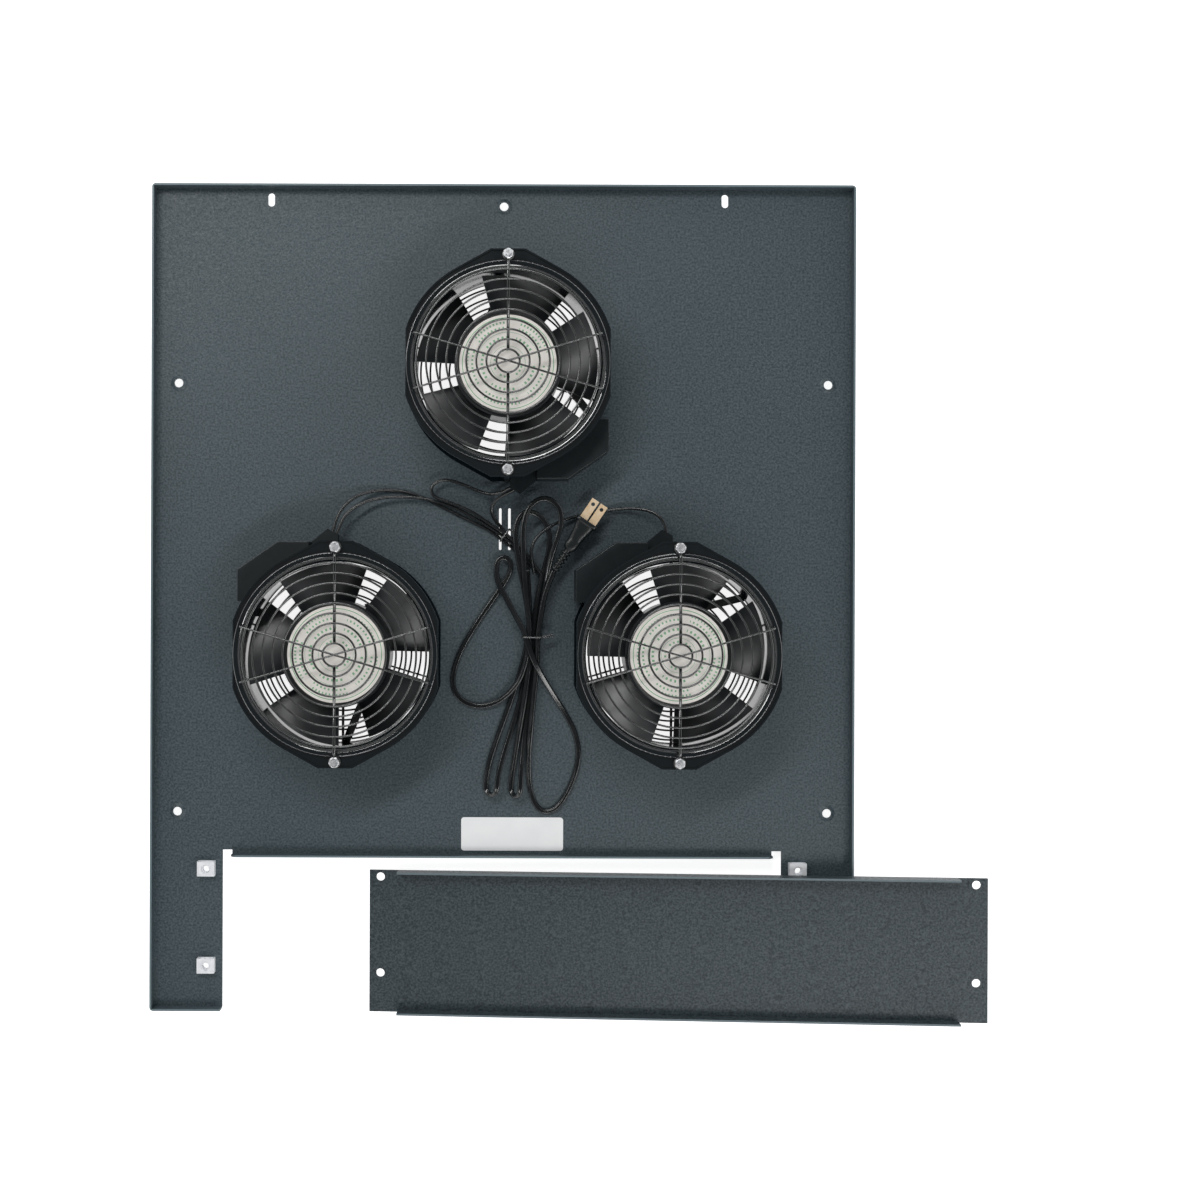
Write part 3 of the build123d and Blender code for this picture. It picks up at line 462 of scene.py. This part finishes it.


def paintedEdgeHighlight(mat, color, sheet, edgeHighlightTone):
    # painted highlight: the colour turns pale along the flanges' top edges, where light would catch them;
    # height over the sheet is -x sin(tilt) + z cos(tilt)
    where = addNode(mat, "ShaderNodeTexCoord")
    up = (-math.sin(math.radians(sheet["tilt"])), 0.0, math.cos(math.radians(sheet["tilt"])))
    height = addNode(mat, "ShaderNodeVectorMath", operation="DOT_PRODUCT")
    link(mat, where.outputs["Object"], height.inputs[0])
    height.inputs[1].default_value = up
    top = up[0] * sheet["foot"][0] + up[2] * sheet["foot"][1] + sheet["flange"]
    band = addNode(mat, "ShaderNodeMapRange")
    link(mat, height.outputs["Value"], band.inputs["Value"])
    band.inputs["From Min"].default_value = (top - edgeHighlightBand[0]) * mm
    band.inputs["From Max"].default_value = (top - edgeHighlightBand[1]) * mm
    both = addNode(mat, "ShaderNodeMix", data_type="RGBA")
    link(mat, band.outputs["Result"], both.inputs[0])
    link(mat, color, both.inputs[6])
    both.inputs[7].default_value = (*edgeHighlightTone, 1)
    return both.outputs[2]


def powderCoat(name, dark, pale, edgeHighlightTone, node):
    # dark powder coat: small soft dimples, a fine speckle, a faint slow mottle and a painted highlight along
    # the flanges' top edges
    mat, shader = newMaterial(name, dark, 0.5)
    grain(mat, shader, 620.0, 0.2 * mm, 0.9, 3.0)
    speckle = rampOf(mat, noiseAt(mat, 620.0, 3.0), [(0.34, dark), (0.66, pale)])
    mottle = rampOf(mat, noiseAt(mat, 9.0, 4.0), [(0.3, (0.93,) * 3), (0.7, (1.0,) * 3)])
    both = addNode(mat, "ShaderNodeMix", data_type="RGBA", blend_type="MULTIPLY")
    both.inputs[0].default_value = 1.0
    link(mat, speckle, both.inputs[6])
    link(mat, mottle, both.inputs[7])
    link(mat, paintedEdgeHighlight(mat, both.outputs[2], sheets[node], edgeHighlightTone), shader.inputs["Base Color"])
    sheenDrift(mat, shader, 380.0, 0.42, 0.6)
    return mat


def castPaint():
    mat, shader = newMaterial("castPaint", (0.004, 0.008, 0.010), 0.11, Specular_IOR_Level=0.9, IOR=1.8)
    grain(mat, shader, 300.0, 0.004 * mm)
    sheenDrift(mat, shader, 90.0, 0.08, 0.15)
    return mat


def bladePaint():
    mat, shader = newMaterial("bladePaint", (0.006, 0.009, 0.011), 0.33, Specular_IOR_Level=0.9)
    grain(mat, shader, 260.0, 0.006 * mm)
    sheenDrift(mat, shader, 40.0, 0.30, 0.36)
    return mat


def satinPlastic():
    mat, shader = newMaterial("satinPlastic", (0.004, 0.009, 0.011), 0.40)
    grain(mat, shader, 1500.0, 0.03 * mm)
    drift(mat, shader, 110.0, (0.003, 0.007, 0.009), (0.006, 0.011, 0.013))
    return mat


def brightZinc():
    mat, shader = newMaterial("brightZinc", (0.85, 0.86, 0.88), 0.32, 0.75)
    grain(mat, shader, 800.0, 0.03 * mm)
    drift(mat, shader, 300.0, (0.78, 0.80, 0.83), (0.92, 0.93, 0.94))
    sheenDrift(mat, shader, 400.0, 0.22, 0.42)
    return mat


def cageZinc():
    # dull white zinc: half metal, half pale bloom
    mat, shader = newMaterial("cageZinc", (0.93, 0.94, 0.97), 0.5, 0.15)
    grain(mat, shader, 700.0, 0.03 * mm)
    drift(mat, shader, 260.0, (0.80, 0.82, 0.86), (0.95, 0.96, 0.98))
    sheenDrift(mat, shader, 300.0, 0.38, 0.6)
    return mat


def plainSteel():
    mat, shader = newMaterial("plainSteel", (0.55, 0.55, 0.57), 0.3, 1.0)
    grain(mat, shader, 1200.0, 0.02 * mm)
    return mat


def coreSteel():
    mat, shader = newMaterial("coreSteel", (0.2, 0.2, 0.21), 0.45, 1.0)
    grain(mat, shader, 900.0, 0.04 * mm)
    return mat


def copperCoils():
    mat, shader = newMaterial("copperCoils", (0.6, 0.25, 0.1), 0.35, 1.0)
    grain(mat, shader, 1800.0, 0.05 * mm)
    return mat


def rotorPaint():
    mat, shader = newMaterial("rotorPaint", (0.008, 0.009, 0.010), 0.35)
    grain(mat, shader, 500.0, 0.04 * mm)
    return mat


def labelPaper():
    mat, shader = newMaterial("labelPaper", (0.93, 0.935, 0.94), 0.42)
    grain(mat, shader, 1100.0, 0.02 * mm)
    drift(mat, shader, 45.0, (0.90, 0.91, 0.92), (0.955, 0.96, 0.965))
    return mat


def plugVinyl():
    mat, shader = newMaterial("plugVinyl", (0.005, 0.008, 0.009), 0.36, Specular_IOR_Level=0.55)
    grain(mat, shader, 1300.0, 0.04 * mm)
    return mat


def bladeBrass():
    mat, shader = newMaterial("bladeBrass", (0.92, 0.70, 0.46), 0.4, 0.3)
    grain(mat, shader, 700.0, 0.02 * mm)
    drift(mat, shader, 200.0, (0.84, 0.61, 0.37), (0.95, 0.76, 0.54))
    return mat


def tieCoat():
    mat, shader = newMaterial("tieCoat", (0.03, 0.032, 0.035), 0.2, Specular_IOR_Level=0.9, IOR=1.8)
    grain(mat, shader, 1500.0, 0.03 * mm)
    return mat


# Round stickers on the rotor cups: cream film with plain green rings and rows of ticks
sticker = {
    "film": (0.95, 0.915, 0.86), "ink": (0.08, 0.42, 0.16),
    "rings": [(34.6, 0.45), (23.6, 0.2), (13.2, 0.2)],             # radius and width, mm
    "ticks": [(31.0, 1.7, 72, 0.42), (27.2, 1.5, 56, 0.42), (19.8, 1.9, 36, 0.44), (10.4, 1.5, 20, 0.45)],
    "fade": 0.8, "sectors": 5, "sectorGap": 0.22,
}


def stickerFilm(fan, axis):
    mat, shader = newMaterial(fan + "StickerFilm", sticker["film"], 0.35)
    grain(mat, shader, 900.0, 0.015 * mm)
    where = addNode(mat, "ShaderNodeTexCoord")
    centred = addNode(mat, "ShaderNodeMapping", Location=(-axis[0] * mm, -axis[1] * mm, 0))
    link(mat, where.outputs["Object"], centred.inputs["Vector"])
    axes = addNode(mat, "ShaderNodeSeparateXYZ")
    link(mat, centred.outputs["Vector"], axes.inputs["Vector"])

    def mathsOf(kind, *feeds):
        # one maths node, fed by sockets or numbers
        node = addNode(mat, "ShaderNodeMath", operation=kind)
        for at, feed in enumerate(feeds):
            if isinstance(feed, (int, float)):
                node.inputs[at].default_value = feed
            else:
                link(mat, feed, node.inputs[at])
        return node.outputs["Value"]

    x, y = axes.outputs["X"], axes.outputs["Y"]
    reach = mathsOf("SQRT", mathsOf("ADD", mathsOf("MULTIPLY", x, x), mathsOf("MULTIPLY", y, y)))
    angle = mathsOf("ARCTAN2", y, x)
    ink = None
    for radius, width in sticker["rings"]:
        band = mathsOf("COMPARE", reach, radius * mm, width / 2 * mm)
        ink = band if ink is None else mathsOf("MAXIMUM", ink, band)
    for radius, width, count, share in sticker["ticks"]:
        band = mathsOf("COMPARE", reach, radius * mm, width / 2 * mm)
        beat = mathsOf("FRACT", mathsOf("MULTIPLY", angle, count / (2 * math.pi)))
        row = mathsOf("MULTIPLY", band, mathsOf("LESS_THAN", beat, share))
        sector = mathsOf("FRACT", mathsOf("MULTIPLY", angle, sticker["sectors"] / (2 * math.pi)))
        gap = mathsOf("GREATER_THAN", sector, sticker["sectorGap"])
        faded = mathsOf("MULTIPLY", mathsOf("MULTIPLY", row, gap), sticker["fade"])
        ink = mathsOf("MAXIMUM", ink, faded)
    mix = addNode(mat, "ShaderNodeMix", data_type="RGBA")
    mix.inputs[6].default_value = (*sticker["film"], 1)
    mix.inputs[7].default_value = (*sticker["ink"], 1)
    link(mat, ink, mix.inputs[0])
    link(mat, mix.outputs[2], shader.inputs["Base Color"])
    return mat


# each coat's last colour is the painted highlight along its flanges' top edges
finishes = {
    "panelCoat": (powderCoat("panelCoat", (0.029, 0.048, 0.057), (0.083, 0.110, 0.126),
                             (0.14, 0.19, 0.21), "top_panel"), ["top_panel"]),
    "coverCoat": (powderCoat("coverCoat", (0.012, 0.022, 0.027), (0.060, 0.081, 0.092),
                             (0.13, 0.17, 0.19), "cover_panel"), ["cover_panel"]),
    "castPaint": (castPaint(), [f + "_fan_frame" for f in fans]),
    "bladePaint": (bladePaint(), [f + "_impeller" for f in fans]),
    "satinPlastic": (satinPlastic(), [f + p for f in fans for p in ("_terminal_cover", "_lead_connector")]),
    "brightZinc": (brightZinc(), ["fan_screws", "fan_nuts"]),
    "cageZinc": (cageZinc(), ["nut_cages", "cage_nuts"]),
    "plainSteel": (plainSteel(), [f + p for f in fans for p in ("_bearings", "_shaft")]),
    "coreSteel": (coreSteel(), [f + "_stator_core" for f in fans]),
    "copperCoils": (copperCoils(), [f + "_stator_windings" for f in fans]),
    "rotorPaint": (rotorPaint(), [f + "_rotor_cup" for f in fans]),
    "labelPaper": (labelPaper(), ["label_plate"]),
    "plugVinyl": (plugVinyl(), ["plug_strain_relief", "plug_body"]),
    "bladeBrass": (bladeBrass(), ["plug_blades"]),
    "tieCoat": (tieCoat(), ["cord_tie", "twist_tie"]),
}
for finish, wearers in finishes.values():
    for node in wearers:
        for slot in nodes[node].material_slots:
            slot.material = finish
for fan in fans:
    for slot in nodes[fan + "_hub_sticker"].material_slots:
        slot.material = stickerFilm(fan, fans[fan]["axis"])
print("stage: finishes")


# Hex nuts with turned corners over the inner guards
nut = {"flats": 7.0, "hole": 2.06, "crown": 0.94, "slope": 0.55, "bottom": 54.0, "top": 57.2, "span": 81.0,
       "chamfer": 0.35, "steps": 72, "turns": (0.3, 0.7)}


def nutForm(x, y, turned):
    # at the angle a the flat stands half the flats / cos(a mod 60) from the axis; over the crown the corner
    # drops by the slope times how far it reaches past the crown
    a = np.linspace(0, 2 * np.pi, nut["steps"], endpoint=False)
    flat = nut["flats"] / 2 / np.cos((a + np.pi / 6) % (np.pi / 3) - np.pi / 6)
    crown = np.full_like(a, nut["flats"] / 2 * nut["crown"])
    drop = (flat - crown) * nut["slope"]
    hole = np.full_like(a, nut["hole"])
    profile = [(hole, nut["bottom"] + 0 * a), (crown, nut["bottom"] + 0 * a), (flat, nut["bottom"] + drop),
               (flat, nut["top"] - drop), (crown, nut["top"] + 0 * a),
               (hole + nut["chamfer"], nut["top"] + 0 * a), (hole, nut["top"] - nut["chamfer"] + 0 * a)]
    rows = [np.c_[x + r * np.cos(a + turned), y + r * np.sin(a + turned), z] for r, z in profile]
    return np.concatenate(rows), gridFaces(len(rows), len(a), closed=True).tolist()


places = [(f["axis"][0], f["axis"][1] + end * nut["span"]) for f in fans.values() for end in (-1, 1)]
nutMat = finishes["brightZinc"][0]
nutPoints, nutFaces = joinForms([nutForm(x, y, nut["turns"][0] + nut["turns"][1] * k)
                                 for k, (x, y) in enumerate(places)])
hexNuts = newPiece("hexNuts", nutPoints, nutFaces, nutMat, smooth=False)
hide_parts("fan_nuts")

# Terminal covers: moulded boxes with softened edges against the barrel
cover = {"outline": [(-77.8, 40.0), (-77.8, 64.7), (-46.8, 86.2), (-22.5, 86.2)], "barrel": 73.3,
         "low": 6.0, "high": 32.0, "edge": 0.7, "arcSteps": 24, "rounds": 3, "sharp": 25}
coverMat = finishes["satinPlastic"][0]
endX, endY = cover["outline"][-1][0], cover["outline"][0][1]
arc = np.linspace(math.atan2(math.sqrt(cover["barrel"] ** 2 - endX ** 2), endX),
                  math.atan2(endY, -math.sqrt(cover["barrel"] ** 2 - endY ** 2)), cover["arcSteps"])
coverRing = np.concatenate([np.array(cover["outline"]), np.c_[np.cos(arc), np.sin(arc)] * cover["barrel"]])
corners = len(coverRing)
coverFaces = gridFaces(2, corners)[:, ::-1].tolist()
coverFaces += [list(range(corners)), list(range(corners, 2 * corners))[::-1]]
for fan, facts in fans.items():
    flat = onFan(facts, coverRing)
    points = np.concatenate([np.c_[flat, np.full(corners, cover[level])] for level in ("low", "high")])
    piece = newPiece(fan + "_cover_shell", points, coverFaces, coverMat, smooth=False)
    rounded = piece.modifiers.new("softEdges", "BEVEL")
    rounded.width = cover["edge"] * mm
    rounded.segments = cover["rounds"]
    rounded.limit_method = "ANGLE"
    rounded.angle_limit = math.radians(cover["sharp"])
    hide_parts(fan + "_terminal_cover")


# Ties: a wire round the leads and one round the folded cord, each with twisted ends. tail = length, half the
# distance between the ends, turns and direction
ties = {
    "leadLoop": {"centre": (1.4, 49.5), "angle": 54.0, "half": 6.1, "low": -0.3, "high": 11.4, "wire": 0.55,
                 "tail": (6.0, 1.1, 3.5, (0.75, -0.35, 0.25))},
    "hankLoop": {"centre": (23.2, -30.5), "angle": 0.0, "half": 8.3, "low": 1.9, "high": 17.0, "wire": 0.6,
                 "tail": (9.5, 1.7, 2.6, (0.86, 0.12, -0.50))},
}
tieForms = {"steps": 64, "squareness": 0.45, "sides": 8, "tailSteps": 60, "tailStart": (0.5, 2.5),
            "spread": (0.7, 0.5), "closeness": 6}
tieMat = finishes["tieCoat"][0]


def tieForm(t):
    # a rounded loop upright over the cords: a superellipse with half the width and height, then two ends
    # wound round each other along the tail's line
    turn = np.linspace(0, 2 * np.pi, tieForms["steps"], endpoint=False)
    c, s = np.cos(turn), np.sin(turn)
    wide = t["half"] * np.sign(c) * np.abs(c) ** tieForms["squareness"]
    tall = (t["high"] - t["low"]) / 2 * np.sign(s) * np.abs(s) ** tieForms["squareness"]
    along = np.array((math.cos(math.radians(t["angle"])), math.sin(math.radians(t["angle"])), 0.0))
    middle = np.array((*t["centre"], (t["low"] + t["high"]) / 2))
    loop = middle + wide[:, None] * along + tall[:, None] * np.array((0.0, 0.0, 1.0))
    forms = [tube(loop, np.cross(along, (0.0, 0.0, 1.0)), (t["wire"],) * 2, tieForms["sides"], closed=True)]
    length, apart, turns, way = t["tail"]
    way = np.array(way) / np.linalg.norm(way)
    one = np.cross(way, (0.0, 0.0, 1.0))
    one /= np.linalg.norm(one)
    two = np.cross(way, one)
    inward, down = tieForms["tailStart"]
    start = middle + along * (t["half"] - inward) + np.array((0.0, 0.0, (t["high"] - t["low"]) / 2 - down))
    u = np.linspace(0, 1, tieForms["tailSteps"])[:, None]
    for phase in (0.0, np.pi):
        swing = 2 * np.pi * turns * u + phase
        spread = apart * (tieForms["spread"][0] + tieForms["spread"][1] * u ** 3)
        wound = spread * (np.cos(swing) * one + np.sin(swing) * two) * np.minimum(tieForms["closeness"] * u, 1)
        forms.append(tube(start + way * length * u + wound, two, (t["wire"],) * 2, tieForms["sides"]))
    return joinForms(forms)


for name, node in (("leadLoop", "cord_tie"), ("hankLoop", "twist_tie")):
    tiePoints, tieFaces = tieForm(ties[name])
    tie = newPiece(name, tiePoints, tieFaces, tieMat)
    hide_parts(node)
print("stage: nuts, covers and ties")

# The plug: ringed strain relief, grip and face in one moulding, carried along the plug's line.
# stations: how far along, half the width, half the thickness, and how square the section is (2 is round)
plug = {
    "start": (40.3, 22.1, 12.0), "angle": 56.0, "reliefLength": 19.0, "rings": 5, "ringPitch": 3.6,
    "waist": (2.1, 2.7), "ringStand": 1.65, "ringFirst": 0.4, "ringCrisp": 1.9, "reliefGap": 0.6,
    "reliefSteps": 90, "sides": 64,
    "grip": [(19.0, 3.2, 3.1, 2.1), (20.4, 4.8, 4.0, 2.5), (22.0, 5.4, 4.3, 3.0), (27.0, 5.5, 4.5, 3.2),
             (28.0, 5.1, 4.2, 3.2), (29.0, 5.7, 4.6, 3.2), (31.0, 5.4, 4.3, 3.2), (32.0, 6.1, 4.8, 3.4),
             (34.0, 5.8, 4.5, 3.4), (35.0, 6.6, 4.9, 3.6), (37.0, 6.4, 4.7, 3.6), (38.2, 7.1, 5.0, 3.8),
             (42.0, 7.6, 5.0, 4.0), (42.8, 8.2, 5.2, 4.2), (43.1, 9.3, 5.7, 4.6), (43.6, 9.5, 5.95, 4.6),
             (45.4, 9.5, 5.95, 4.6), (46.0, 9.1, 5.6, 4.6)],
}


def plugForm(p):
    # relief: a slow cone plus rounded rings, |sin| of the way along; then every section is a superellipse,
    # |x/a|^n + |y/b|^n = 1, set square to the plug's line
    u = np.linspace(0, p["reliefLength"] - p["reliefGap"], p["reliefSteps"])
    cone = np.interp(u, (0, p["reliefLength"]), p["waist"])
    ring = np.clip(np.sin(2 * np.pi * (u - p["ringFirst"]) / p["ringPitch"]) * p["ringCrisp"], 0, 1) ** 0.5
    ring *= (u < p["ringFirst"] + p["rings"] * p["ringPitch"])
    rows = np.c_[u, cone + p["ringStand"] * ring, cone + p["ringStand"] * ring, np.full(len(u), 2.0)]
    rows = np.concatenate([rows, np.array(p["grip"])])
    turn = np.linspace(0, 2 * np.pi, p["sides"], endpoint=False)
    c, s = np.cos(turn), np.sin(turn)
    bulge = 2 / rows[:, 3:4]
    x = rows[:, 1:2] * np.sign(c) * np.abs(c) ** bulge
    y = rows[:, 2:3] * np.sign(s) * np.abs(s) ** bulge
    way = np.array((math.cos(math.radians(p["angle"])), math.sin(math.radians(p["angle"])), 0.0))
    side = np.array((-way[1], way[0], 0.0))
    grid = (np.array(p["start"]) + rows[:, 0, None, None] * way
            + x[..., None] * side + y[..., None] * np.array((0.0, 0.0, 1.0)))
    count, sides = grid.shape[:2]
    faces = gridFaces(count, sides).tolist()
    faces += [list(range(sides))[::-1], list(range((count - 1) * sides, count * sides))]
    return grid.reshape(-1, 3), faces


plugPoints, plugFaces = plugForm(plug)
plugShell = newPiece("plugShell", plugPoints, plugFaces, finishes["plugVinyl"][0])
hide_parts("plug_strain_relief", "plug_body")
print("stage: plug")
